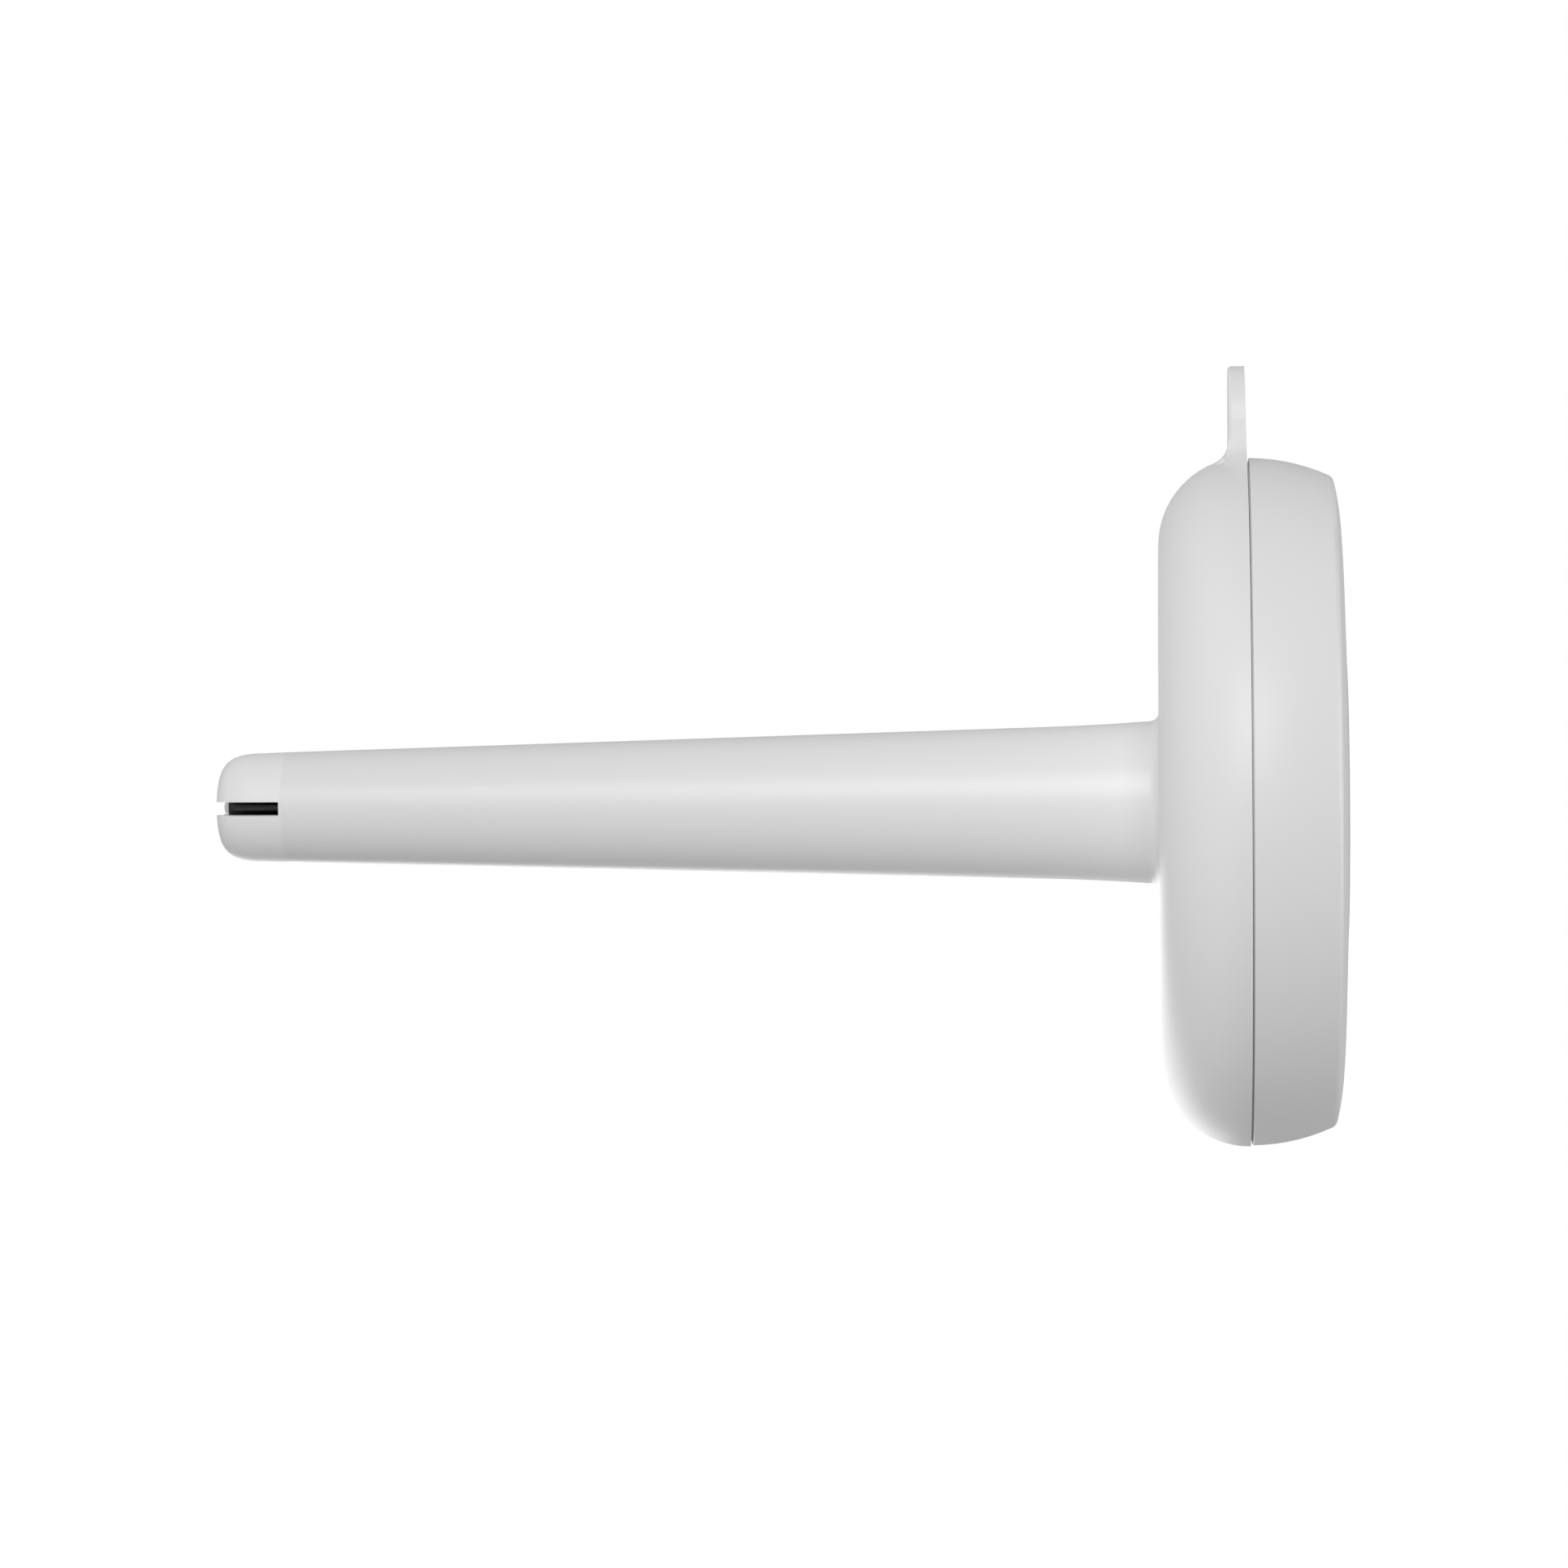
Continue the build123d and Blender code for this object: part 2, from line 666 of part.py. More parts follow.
# ---------------------------------------------------------------- circuit board
board_top = board_floor + board_thickness
board_corner = 3.0
with BuildPart() as circuit_board:
    with BuildSketch(Plane.XY.offset(board_floor)):
        RectangleRounded(board_length, board_width, board_corner)
        with GridLocations(2 * pillar_x, 2 * pillar_y, 2, 2):
            Circle(screw_radius, mode=Mode.SUBTRACT)
    extrude(amount=board_thickness)
circuit_board.part.label = "circuit_board"
export_step(circuit_board.part, "parts/circuit_board.step")

board_screw_spots = GridLocations(2 * pillar_x, 2 * pillar_y, 2, 2).locations
for number, spot in enumerate(board_screw_spots, 1):
    with BuildPart() as board_screw:
        add(screw(board_top, pillar_hole_depth).locate(Location(spot.position)))
    board_screw.part.label = f"board_screw_{number}"
    export_step(board_screw.part, f"parts/board_screw_{number}.step")

connector_height = 4.5
connector_length = 8.0
connector_width = 5.0
lead_seat = 3.0  # depth of the leads' ends in the connector
with BuildPart() as sensor_connector:
    with BuildSketch(Plane.XY.offset(board_floor)):
        Rectangle(connector_length, connector_width)
    extrude(amount=-connector_height)
    with BuildSketch(Plane.XY.offset(board_floor - connector_height)):
        with GridLocations(lead_spacing, 0, 2, 1):
            Circle(lead_radius)
    extrude(amount=lead_seat, mode=Mode.SUBTRACT)
sensor_connector.part.label = "sensor_connector"
export_step(sensor_connector.part, "parts/sensor_connector.step")

lead_bottom = bead_height + sqrt(bead_radius**2 - (lead_spacing / 2 - lead_radius) ** 2)
with BuildPart() as sensor_leads:
    with BuildSketch(Plane.XY.offset(lead_bottom)):
        with GridLocations(lead_spacing, 0, 2, 1):
            Circle(lead_radius)
    extrude(amount=board_floor - connector_height + lead_seat - lead_bottom)
sensor_leads.part.label = "sensor_leads"
export_step(sensor_leads.part, "parts/sensor_leads.step")

shield_height = 2.4
shield_x = -22.0
shield_sheet = 0.4
shield_length = 18.0
shield_width = 14.0
corner_radius = 1.0
with BuildPart() as radio_shield:
    with BuildSketch(Plane.XY.offset(board_floor)):
        with Locations((shield_x, 0)):
            RectangleRounded(shield_length, shield_width, corner_radius)
    extrude(amount=-shield_height)
    with BuildSketch(Plane.XY.offset(board_floor)):
        with Locations((shield_x, 0)):
            Rectangle(shield_length - 2 * shield_sheet, shield_width - 2 * shield_sheet)
    extrude(amount=shield_sheet - shield_height, mode=Mode.SUBTRACT)
radio_shield.part.label = "radio_shield"
export_step(radio_shield.part, "parts/radio_shield.step")

coil_radius = 2.0
coil_wire = 0.35
coil_pitch = 1.3
coil_turns = 10
coil_x = 22.0
with BuildPart() as antenna_coil:
    with BuildLine() as turns:
        Helix(
            coil_pitch,
            coil_pitch * coil_turns,
            coil_radius,
            center=(coil_x, -coil_pitch * coil_turns / 2, board_floor - coil_radius - coil_wire),
            direction=(0, 1, 0),
        )
    with BuildSketch(Plane(turns.line @ 0, z_dir=turns.line % 0)):
        Circle(coil_wire)
    sweep(path=turns.line, is_frenet=True)
antenna_coil.part.label = "antenna_coil"
export_step(antenna_coil.part, "parts/antenna_coil.step")

# ---------------------------------------------------------------- display
glass_length = 44.0
glass_width = 32.0
glass_thickness = 2.2
strip_height = 2.6
frame_wall = 1.5
frame_lip = 0.6
view_length = 38.0
view_width = 24.0
strip_offset = 14.2
strip_length = 40.0
strip_width = 2.0

with BuildPart() as lcd_glass:
    with BuildSketch(Plane.XY.offset(board_top + strip_height)):
        Rectangle(glass_length, glass_width)
    extrude(amount=glass_thickness)
lcd_glass.part.label = "lcd_glass"
export_step(lcd_glass.part, "parts/lcd_glass.step")

with BuildPart() as lcd_frame:
    with BuildSketch(Plane.XY.offset(board_top)):
        RectangleRounded(glass_length + 2 * frame_wall, glass_width + 2 * frame_wall, corner_radius)
        Rectangle(glass_length, glass_width, mode=Mode.SUBTRACT)
    extrude(amount=strip_height + glass_thickness)
    with BuildSketch(Plane.XY.offset(board_top + strip_height + glass_thickness)):
        RectangleRounded(glass_length + 2 * frame_wall, glass_width + 2 * frame_wall, corner_radius)
        Rectangle(view_length, view_width, mode=Mode.SUBTRACT)
    extrude(amount=frame_lip)
lcd_frame.part.label = "lcd_frame"
export_step(lcd_frame.part, "parts/lcd_frame.step")

for number, way in enumerate((1, -1), 1):
    with BuildPart() as contact_strip:
        with BuildSketch(Plane.XY.offset(board_top)):
            with Locations((0, way * strip_offset)):
                Rectangle(strip_length, strip_width)
        extrude(amount=strip_height)
    contact_strip.part.label = f"contact_strip_{number}"
    export_step(contact_strip.part, f"parts/contact_strip_{number}.step")

# A printed mask hides everything but the display's view.
mask_radius = 23.5
with BuildPart() as display_mask:
    with BuildSketch(Plane.XY.offset(board_top + strip_height + glass_thickness + frame_lip)):
        Circle(mask_radius)
        Rectangle(view_length, view_width, mode=Mode.SUBTRACT)
    extrude(amount=frame_lip)
display_mask.part.label = "display_mask"
export_step(display_mask.part, "parts/display_mask.step")

# ---------------------------------------------------------------- switch, button and lamp
switch_x = 33.0
switch_y = 6.0
switch_height = 3.6
switch_length = 9.0
switch_width = 4.4
switch_travel = 2.0
slider_gap = 0.1
slider_length = 2.0
slider_width = 1.6
slider_height = 3.8
slider_sink = 2.3  # below the top of the switch's body
slider_bevel = 0.25

with BuildPart() as channel_switch_body:
    with BuildSketch(Plane.XY.offset(board_top)):
        with Locations((switch_x, switch_y)):
            Rectangle(switch_width, switch_length)
    extrude(amount=switch_height)
    with BuildSketch(Plane.XY.offset(board_top + switch_height)):
        with Locations((switch_x, switch_y)):
            Rectangle(slider_width + 2 * slider_gap, switch_travel + slider_length + 2 * slider_gap)
    extrude(amount=-slider_sink - slider_gap, mode=Mode.SUBTRACT)
channel_switch_body.part.label = "channel_switch_body"
export_step(channel_switch_body.part, "parts/channel_switch_body.step")

with BuildPart() as channel_switch_slider:
    with BuildSketch(Plane.XY.offset(board_top + switch_height - slider_sink)):
        with Locations((switch_x, switch_y - switch_travel / 2)):
            Rectangle(slider_width, slider_length)
    extrude(amount=slider_height)
    chamfer(channel_switch_slider.faces().sort_by(Axis.Z)[-1].edges(), slider_bevel)
channel_switch_slider.part.label = "channel_switch_slider"
export_step(channel_switch_slider.part, "parts/channel_switch_slider.step")

button_x = -33.0
button_radius = 1.75
button_height = 3.4
button_travel = 0.5
button_gap = 0.1
button_well = 2.2  # depth of the hole that the cap slides in
button_side = 6.0
button_fillet = 0.3
led_y = -9.0
led_radius = 1.5
led_height = 2.0
with BuildPart() as reset_button_body:
    with BuildSketch(Plane.XY.offset(board_top)):
        with Locations((button_x, 0)):
            Rectangle(button_side, button_side)
    extrude(amount=button_height)
    with BuildSketch(Plane.XY.offset(board_top + button_height)):
        with Locations((button_x, 0)):
            Circle(button_radius + button_gap)
    extrude(amount=-button_well, mode=Mode.SUBTRACT)
reset_button_body.part.label = "reset_button_body"
export_step(reset_button_body.part, "parts/reset_button_body.step")

cap_bottom = board_top + button_height - button_well + button_travel + button_gap
with BuildPart() as reset_button_cap:
    with BuildSketch(Plane.XY.offset(cap_bottom)):
        with Locations((button_x, 0)):
            Circle(button_radius)
    extrude(amount=button_height)
    fillet(reset_button_cap.faces().sort_by(Axis.Z)[-1].edges(), button_fillet)
reset_button_cap.part.label = "reset_button_cap"
export_step(reset_button_cap.part, "parts/reset_button_cap.step")

with BuildPart() as status_led:
    with BuildSketch(Plane.XY.offset(board_top)):
        with Locations((switch_x, led_y)):
            Circle(led_radius)
    extrude(amount=led_height)
    with Locations((switch_x, led_y, board_top + led_height)):
        Sphere(led_radius)
status_led.part.label = "status_led"
export_step(status_led.part, "parts/status_led.step")
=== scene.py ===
# %% [markdown]
# # A floating water thermometer
#
# The object is a round white float on a long tapered stem, moulded in satin plastic. It floats
# upright: the domed cover and its display look at the sky, and the polished sensor at the end of
# the stem hangs in the water. Its exact shapes were made in CAD and come in as a fixed frame, so
# this lesson is about the finishes, the small parts behind the window, and the light.
#
# The first cell loads the frame and keeps its box, to show at the end that nothing grew.

# %% Load the frame
import math

import bmesh
import bpy
from mathutils import Matrix, Vector


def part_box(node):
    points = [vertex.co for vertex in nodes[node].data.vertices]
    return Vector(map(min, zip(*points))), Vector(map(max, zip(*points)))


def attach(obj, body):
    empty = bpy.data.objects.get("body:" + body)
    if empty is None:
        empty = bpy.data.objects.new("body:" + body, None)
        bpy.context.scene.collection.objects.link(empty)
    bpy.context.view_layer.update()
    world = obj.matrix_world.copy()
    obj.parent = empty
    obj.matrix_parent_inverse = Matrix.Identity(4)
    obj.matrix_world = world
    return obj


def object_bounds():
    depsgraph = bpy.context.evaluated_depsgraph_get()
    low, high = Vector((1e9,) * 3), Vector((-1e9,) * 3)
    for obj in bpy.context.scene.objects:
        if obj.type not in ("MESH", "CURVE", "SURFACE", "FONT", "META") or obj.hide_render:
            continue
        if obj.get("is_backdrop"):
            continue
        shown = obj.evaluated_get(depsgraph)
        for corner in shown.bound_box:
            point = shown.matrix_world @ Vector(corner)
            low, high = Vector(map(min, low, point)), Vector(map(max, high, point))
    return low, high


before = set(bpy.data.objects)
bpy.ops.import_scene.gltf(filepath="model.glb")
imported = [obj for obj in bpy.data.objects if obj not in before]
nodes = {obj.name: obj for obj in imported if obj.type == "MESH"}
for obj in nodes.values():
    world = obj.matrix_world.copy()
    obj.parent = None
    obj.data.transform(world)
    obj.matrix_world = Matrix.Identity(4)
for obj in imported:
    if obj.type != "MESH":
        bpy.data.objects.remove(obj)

cad_box = [list(corner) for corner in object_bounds()]
MM = 0.001

# %% [markdown]
# ## Writing shader maths as Python
#
# A finish is a network of nodes. Placing each node and each link by hand makes long, dull code, so
# three small classes do it. Signal wraps the output of a node, and lets us write 1 - mask or
# grain * 0.2 where we mean it. Wiring holds a tree of nodes, and its one method, node, adds any
# node to it. Finish is the Wiring of a material, with the patterns that finishes share. Numbers
# that are the same everywhere go straight onto the shader's own sockets.


# %% Three classes for shader maths
class Signal:
    """An output socket that can stand in a Python expression."""

    def __init__(self, wiring, socket):
        self.wiring, self.socket = wiring, socket

    def math(self, operation, first, second):
        return self.wiring.node("ShaderNodeMath", {"operation": operation}, {0: first, 1: second})

    def __add__(self, other):
        return self.math("ADD", self, other)

    def __sub__(self, other):
        return self.math("SUBTRACT", self, other)

    def __rsub__(self, other):
        return self.math("SUBTRACT", other, self)

    def __mul__(self, other):
        return self.math("MULTIPLY", self, other)

    def above(self, level):
        return self.math("GREATER_THAN", self, level)

    def at_least(self, level):
        return self.math("MAXIMUM", self, level)

    __radd__, __rmul__ = __add__, __mul__


class Wiring:
    """A tree of nodes, and the one way to add nodes to it."""

    def __init__(self, tree):
        self.tree = tree

    def feed(self, socket, value):
        if isinstance(value, Signal):
            self.tree.links.new(value.socket, socket)
        else:
            socket.default_value = value

    def node(self, kind, settings, sockets, output=0):
        made = self.tree.nodes.new(kind)
        for name, value in settings.items():
            setattr(made, name, value)
        for name, value in sockets.items():
            self.feed(made.inputs[name], value)
        return Signal(self, made.outputs[output])


# A Mix node has a set of sockets for each kind of value: these are its factor, its two colours, and
# the colour that comes out.
MIX_SOCKETS = (0, 6, 7)
MIX_RESULT = 2


class Finish(Wiring):
    """A material with one Principled shader."""

    def __init__(self, name, **even):
        self.material = bpy.data.materials.new(name)
        self.material.use_nodes = True
        super().__init__(self.material.node_tree)
        self.shader = self.tree.nodes["Principled BSDF"]
        for socket, value in even.items():
            self.feed(self.shader.inputs[socket.replace("_", " ")], value)

    def place(self, stretch=(1, 1, 1)):
        """The point on the piece, in metres, stretched along each axis."""
        point = self.node("ShaderNodeTexCoord", {}, {}, "Object")
        return self.node("ShaderNodeMapping", {}, {"Vector": point, "Scale": stretch})

    def noise(self, size, detail=2.0, stretch=(1, 1, 1)):
        """A cloudy pattern from 0 to 1, with features of a size in metres."""
        sockets = {"Vector": self.place(stretch), "Scale": 1 / size, "Detail": detail}
        return self.node("ShaderNodeTexNoise", {}, sockets)

    def blend(self, share, first, second):
        """A colour between two colours."""
        made = self.tree.nodes.new("ShaderNodeMix")
        made.data_type = "RGBA"
        for number, value in zip(MIX_SOCKETS, (share, first, second)):
            self.feed(made.inputs[number], value)
        return Signal(self, made.outputs[MIX_RESULT])

    def emboss(self, height, depth):
        """Bumps the surface by a pattern, as deep as depth in metres."""
        bump = self.node("ShaderNodeBump", {}, {"Height": height, "Distance": depth, "Strength": 1})
        self.feed(self.shader.inputs["Normal"], bump)

    def vary(self, socket, signal):
        self.feed(self.shader.inputs[socket], signal)


def grey(level):
    """A neutral colour."""
    return (level, level, level, 1.0)


# %% [markdown]
# ## Moulded plastic
#
# The float, cover, stem and guard are injection moulded. The tool that shaped them was sparked to
# a very fine grain, so the plastic is satin: it has broad soft highlights and no mirror images.
# One noise of about a third of a millimetre makes the grain, a second and larger one lets the
# roughness drift as it does where a part was handled, and a third moves the colour a little.
# A flat colour would look like paint in a computer, and a stronger bump would look like leather.


# %% Moulded plastic
DRIFT_SIZE, TONE_SIZE, GRAIN_SIZE = 0.045, 0.09, 0.00035
DRIFT_RANGE = 0.10
TONE_FLOOR = 0.975


def moulded(name, level, roughness, grain_depth=4e-6, warmth=0.0):
    finish = Finish(name, Specular_IOR_Level=0.5, IOR=1.49)
    drift = finish.noise(DRIFT_SIZE)
    tone = finish.noise(TONE_SIZE, 1.0)
    pale = (level, level * (1 - warmth * 0.4), level * (1 - warmth), 1.0)
    deep = tuple(channel * TONE_FLOOR for channel in pale[:3]) + (1.0,)
    finish.vary("Base Color", finish.blend(tone, deep, pale))
    finish.vary("Roughness", drift * DRIFT_RANGE + (roughness - DRIFT_RANGE / 2))
    finish.emboss(finish.noise(GRAIN_SIZE, 3.0), grain_depth)
    return finish.material


shell_white = moulded("shell_white", 0.80, 0.40)
cover_white = moulded("cover_white", 0.80, 0.38)
stem_white = moulded("stem_white", 0.85, 0.36)
# The guard's white is set paler than the float's: painted light that brightens the tip.
guard_white_painted_bright = moulded("guard_white_painted_bright", 0.90, 0.40)
# The bead's white is painted paler than the float's plastic, a painted highlight along the weld.
bead_painted_highlight = moulded("bead_painted_highlight", 0.90, 0.28, grain_depth=1e-6)
inner_white = moulded("inner_white", 0.66, 0.55, warmth=0.03)
housing_black = moulded("housing_black", 0.035, 0.5)
mask_grey = moulded("mask_grey", 0.11, 0.6, grain_depth=2e-6)
button_amber = moulded("button_amber", 0.32, 0.45, warmth=0.9)
print("moulded plastics ready")

# %% [markdown]
# ## Metals
#
# The sensor's sleeve is drawn from steel tube. Its shank is satin, with faint lines along it, and
# is painted dark as a painted reflection of a dark room. Its rounded end is painted bright as a
# painted highlight, so a mask on the height picks the end out.
# The ballast was turned on a lathe, so its fine rings run across it. Both come from one noise,
# stretched a lot along one axis: the stretch is what turns clouds into lines.


# %% Metals
LINE_SHADE = 0.86
LINE_ROUGHNESS = 0.12


def lined_metal(name, colour, roughness, stretch, line=0.0002, depth=2e-6):
    finish = Finish(name, Metallic=1.0)
    lines = finish.noise(line, 2.0, stretch)
    dark = tuple(channel * LINE_SHADE for channel in colour[:3]) + (1.0,)
    finish.vary("Base Color", finish.blend(lines, dark, colour))
    finish.vary("Roughness", lines * LINE_ROUGHNESS + roughness)
    finish.emboss(lines, depth)
    return finish.material


PAINTED_END_LENGTH = 0.95 * MM
# The shank's two dark colours are painted reflection of a dark room; the end's colour is a painted
# highlight.
SHANK_DARK, SHANK_PALE, END_BRIGHT = grey(0.03), grey(0.09), grey(0.92)
SHANK_ROUGHNESS, END_ROUGHNESS = 0.12, 0.05


def probe_steel():
    """A satin shank painted dark as a painted reflection, and a rounded end painted bright as a
    highlight.
    """
    finish = Finish("probe_steel", Metallic=1.0)
    lines = finish.noise(0.0002, 2.0, (1, 1, 0.01))
    point = finish.node("ShaderNodeTexCoord", {}, {}, "Object")
    height = finish.node("ShaderNodeSeparateXYZ", {}, {"Vector": point}, "Z")
    painted_highlight_end = 1 - height.above(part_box("sensor_sleeve")[0].z + PAINTED_END_LENGTH)
    shank = finish.blend(lines, SHANK_DARK, SHANK_PALE)
    finish.vary("Base Color", finish.blend(painted_highlight_end, shank, END_BRIGHT))
    finish.vary("Roughness", (1 - painted_highlight_end) * SHANK_ROUGHNESS + lines * 0.06 + END_ROUGHNESS)
    finish.emboss(lines, 4e-7)
    return finish.material


sleeve_steel = probe_steel()
turned_steel = lined_metal("turned_steel", grey(0.52), 0.28, (0.02, 0.02, 1))
plated_steel = lined_metal("plated_steel", (0.74, 0.73, 0.70, 1), 0.22, (1, 1, 1), 0.0006)
copper_wire = lined_metal("copper_wire", (0.82, 0.42, 0.24, 1), 0.2, (1, 0.05, 1))
print("metals ready")

# %% [markdown]
# ## Clear, rubbery and printed finishes
#
# The window is a clear lens, so its shader transmits light. Rubber is nearly black and dull, with a
# faint bloom on it. The display is a pair of glass plates over a grey-green reflector. The circuit
# board has green lacquer over copper tracks: a brick pattern is too regular for tracks, but two
# stretched noises, cut off sharply, read as bundles of them.


# %% Clear, rubbery and printed finishes
def clear_plastic():
    finish = Finish("clear_plastic", Transmission_Weight=1.0, IOR=1.49, Base_Color=grey(0.97))
    finish.vary("Roughness", finish.noise(0.01) * 0.03)
    return finish.material


def black_rubber():
    finish = Finish("black_rubber", Specular_IOR_Level=0.35)
    bloom = finish.noise(0.002, 4.0)
    finish.vary("Base Color", finish.blend(bloom, grey(0.018), grey(0.035)))
    finish.vary("Roughness", bloom * 0.2 + 0.6)
    finish.emboss(bloom, 1e-5)
    return finish.material


def display_glass():
    finish = Finish("display_glass", Coat_Roughness=0.03, Coat_IOR=1.5)
    haze = finish.noise(0.012, 1.0)
    finish.vary("Base Color", finish.blend(haze, (0.42, 0.47, 0.38, 1), (0.46, 0.51, 0.41, 1)))
    finish.vary("Roughness", haze * 0.1 + 0.35)
    finish.vary("Coat Weight", 1 - haze * 0.1)
    return finish.material


def green_board():
    finish = Finish("green_board", Coat_Roughness=0.15)
    along = finish.noise(0.0012, 0.0, (0.06, 1, 1)).above(0.55)
    across = finish.noise(0.0012, 0.0, (1, 0.06, 1)).above(0.60)
    tracks = finish.node("ShaderNodeMath", {"operation": "MAXIMUM"}, {0: along, 1: across})
    finish.vary("Base Color", finish.blend(tracks, (0.008, 0.09, 0.035, 1), (0.02, 0.20, 0.07, 1)))
    finish.vary("Roughness", 0.42 - tracks * 0.08)
    finish.emboss(tracks, 2e-5)
    return finish.material


def cell_jacket():
    """A printed sleeve: a blue can with a pale band round its positive third."""
    finish = Finish("cell_jacket", IOR=1.5)
    point = finish.node("ShaderNodeTexCoord", {}, {}, "Object")
    along = finish.node("ShaderNodeSeparateXYZ", {}, {"Vector": point}, "X")
    across = finish.node("ShaderNodeSeparateXYZ", {}, {"Vector": point}, "Y")
    # The two cells lie head to tail, so the band changes ends with the side of the board.
    band = (along * (across.above(0.0) * 2 - 1)).above(0.012)
    finish.vary("Base Color", finish.blend(band, (0.03, 0.09, 0.25, 1), (0.62, 0.60, 0.52, 1)))
    finish.vary("Roughness", finish.noise(0.003) * 0.1 + 0.25)
    return finish.material


def coloured(name, dark, light, roughness, size=0.002):
    """A plain coloured finish with a slight mottle."""
    finish = Finish(name, IOR=1.5)
    mottle = finish.noise(size)
    finish.vary("Base Color", finish.blend(mottle, dark, light))
    finish.vary("Roughness", mottle * 0.1 + roughness)
    return finish.material


window_clear, seal_black = clear_plastic(), black_rubber()
glass_green, board_green, jacket_blue = display_glass(), green_board(), cell_jacket()
lamp_red = coloured("lamp_red", (0.55, 0.03, 0.02, 1), (0.65, 0.05, 0.03, 1), 0.12)
lead_red = coloured("lead_red", (0.36, 0.02, 0.02, 1), (0.44, 0.03, 0.03, 1), 0.5)
bead_black = coloured("bead_black", grey(0.012), grey(0.02), 0.15)
ink_dark = coloured("ink_dark", (0.018, 0.02, 0.024, 1), (0.028, 0.03, 0.034, 1), 0.35)
trim_grey = coloured("trim_grey", grey(0.40), grey(0.43), 0.35, 0.006)
chip_black = coloured("chip_black", grey(0.02), grey(0.03), 0.45, 0.001)
part_tan = coloured("part_tan", (0.42, 0.30, 0.16, 1), (0.50, 0.36, 0.20, 1), 0.35, 0.001)
print("clear, rubbery and printed finishes ready")

# %% [markdown]
# ## Dressing the frame
#
# The shapes from CAD stay as they are, and only their material changes. A loop over finishes is
# easier to check than one line for each node. The loop counts what it dressed, so a node without a
# finish can't slip through.

# %% Dress every node of the frame
dressing = {
    shell_white: ["float_shell"],
    guard_white_painted_bright: ["guard_cap"],
    cover_white: ["top_cover"],
    stem_white: ["stem_tube"],
    inner_white: ["closure_ring", "stem_lock_nut", "battery_tray", "sensor_gland"],
    housing_black: ["lcd_frame", "channel_switch_body", "reset_button_body", "sensor_connector"],
    mask_grey: ["display_mask"],
    trim_grey: ["channel_switch_slider"],
    button_amber: ["reset_button_cap"],
    sleeve_steel: ["sensor_sleeve"],
    turned_steel: ["ballast_slug"],
    plated_steel: ["radio_shield", "contact_plate", "battery_spring", "tray_screw", "board_screw"],
    copper_wire: ["antenna_coil"],
    window_clear: ["display_window"],
    seal_black: ["cover_o_ring", "stem_o_ring", "gland_o_ring", "contact_strip"],
    glass_green: ["lcd_glass"],
    board_green: ["circuit_board"],
    jacket_blue: ["battery_cell"],
    lamp_red: ["status_led"],
    lead_red: ["sensor_leads"],
    bead_black: ["thermistor_bead"],
}
dressed = set()
for material, starts in dressing.items():
    for name, node in nodes.items():
        if name in starts or name.rstrip("0123456789").rstrip("_") in starts:
            node.data.materials.clear()
            node.data.materials.append(material)
            dressed.add(name)
print("dressed", len(dressed), "of", len(nodes), "- left:", sorted(set(nodes) - dressed))

# %% [markdown]
# ## A way to make small parts
#
# The small parts behind the window are blocks, bars and rings. A block or a bar is started by one
# bmesh operator and softened by a bevel, and a ring is a section that is spun once round. Softened
# edges matter even on tiny things, because an edge with no bevel never catches the light.


# %% Helpers for small parts
def add_block(bm, size, centre, soften=0.0, upright_only=False):
    """Adds a block with its edges softened; upright_only leaves its top and bottom edges sharp."""
    block = bmesh.ops.create_cube(bm, size=1.0)["verts"]
    bmesh.ops.scale(bm, vec=size, verts=block)
    edges = {edge for vert in block for edge in vert.link_edges}
    if upright_only:
        edges = {e for e in edges if abs(e.verts[0].co.z - e.verts[1].co.z) > size[2] / 2}
    bmesh.ops.translate(bm, vec=centre, verts=block)
    if soften:
        segments = 1 if upright_only else 2  # a single cut makes a bar's end pointed
        bmesh.ops.bevel(bm, geom=list(edges), offset=soften, offset_type="OFFSET",
                        segments=segments, profile=0.5, affect="EDGES", material=-1)


def add_ring(bm, inner, outer, low, high, steps):
    """Adds a flat ring round the Z axis by spinning its section once round."""
    corners = [bm.verts.new((r, 0, z)) for r, z in
               ((inner, low), (outer, low), (outer, high), (inner, high))]
    edges = [bm.edges.new((corners[i], corners[(i + 1) % 4])) for i in range(4)]
    bmesh.ops.spin(bm, geom=corners + edges, cent=(0, 0, 0), axis=(0, 0, 1), dvec=(0, 0, 0),
                   angle=math.tau, steps=steps, use_merge=True, use_duplicate=False)


def finish_piece(bm, name, material, body, smooth=False):
    """Turns a bmesh into an object that rides on a body."""
    bmesh.ops.recalc_face_normals(bm, faces=bm.faces)
    mesh = bpy.data.meshes.new(name)
    bm.to_mesh(mesh)
    bm.free()
    mesh.materials.append(material)
    for polygon in mesh.polygons:
        polygon.use_smooth = smooth
    piece = bpy.data.objects.new(name, mesh)
    bpy.context.scene.collection.objects.link(piece)
    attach(piece, body)
    print(name, "-", len(mesh.polygons), "faces on", body)


# %% [markdown]
# ## The reading
#
# A display of this kind draws each digit with seven bars. A bar is a block whose upright corners
# are bevelled until its ends are pointed. The letters a to g are the usual names of the bars, going
# clockwise from the top with g in the middle, so a digit is a short word.

# %% The reading on the display
glass_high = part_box("lcd_glass")[1]
BAR_LIFT = 0.02 * MM
BAR_THICKNESS = 0.06 * MM
# The shares of a digit's height that are its width and its bars' width, and the shares of a bar's
# width that part it from the next bar and that its corners lose.
DIGIT_WIDTH, BAR_WIDTH = 0.52, 0.11
BAR_GAP, BAR_POINT = 0.25, 0.45
BARS = {"2": "abged", "4": "fgbc", "6": "afgedc", "1": "bc", "C": "afed"}


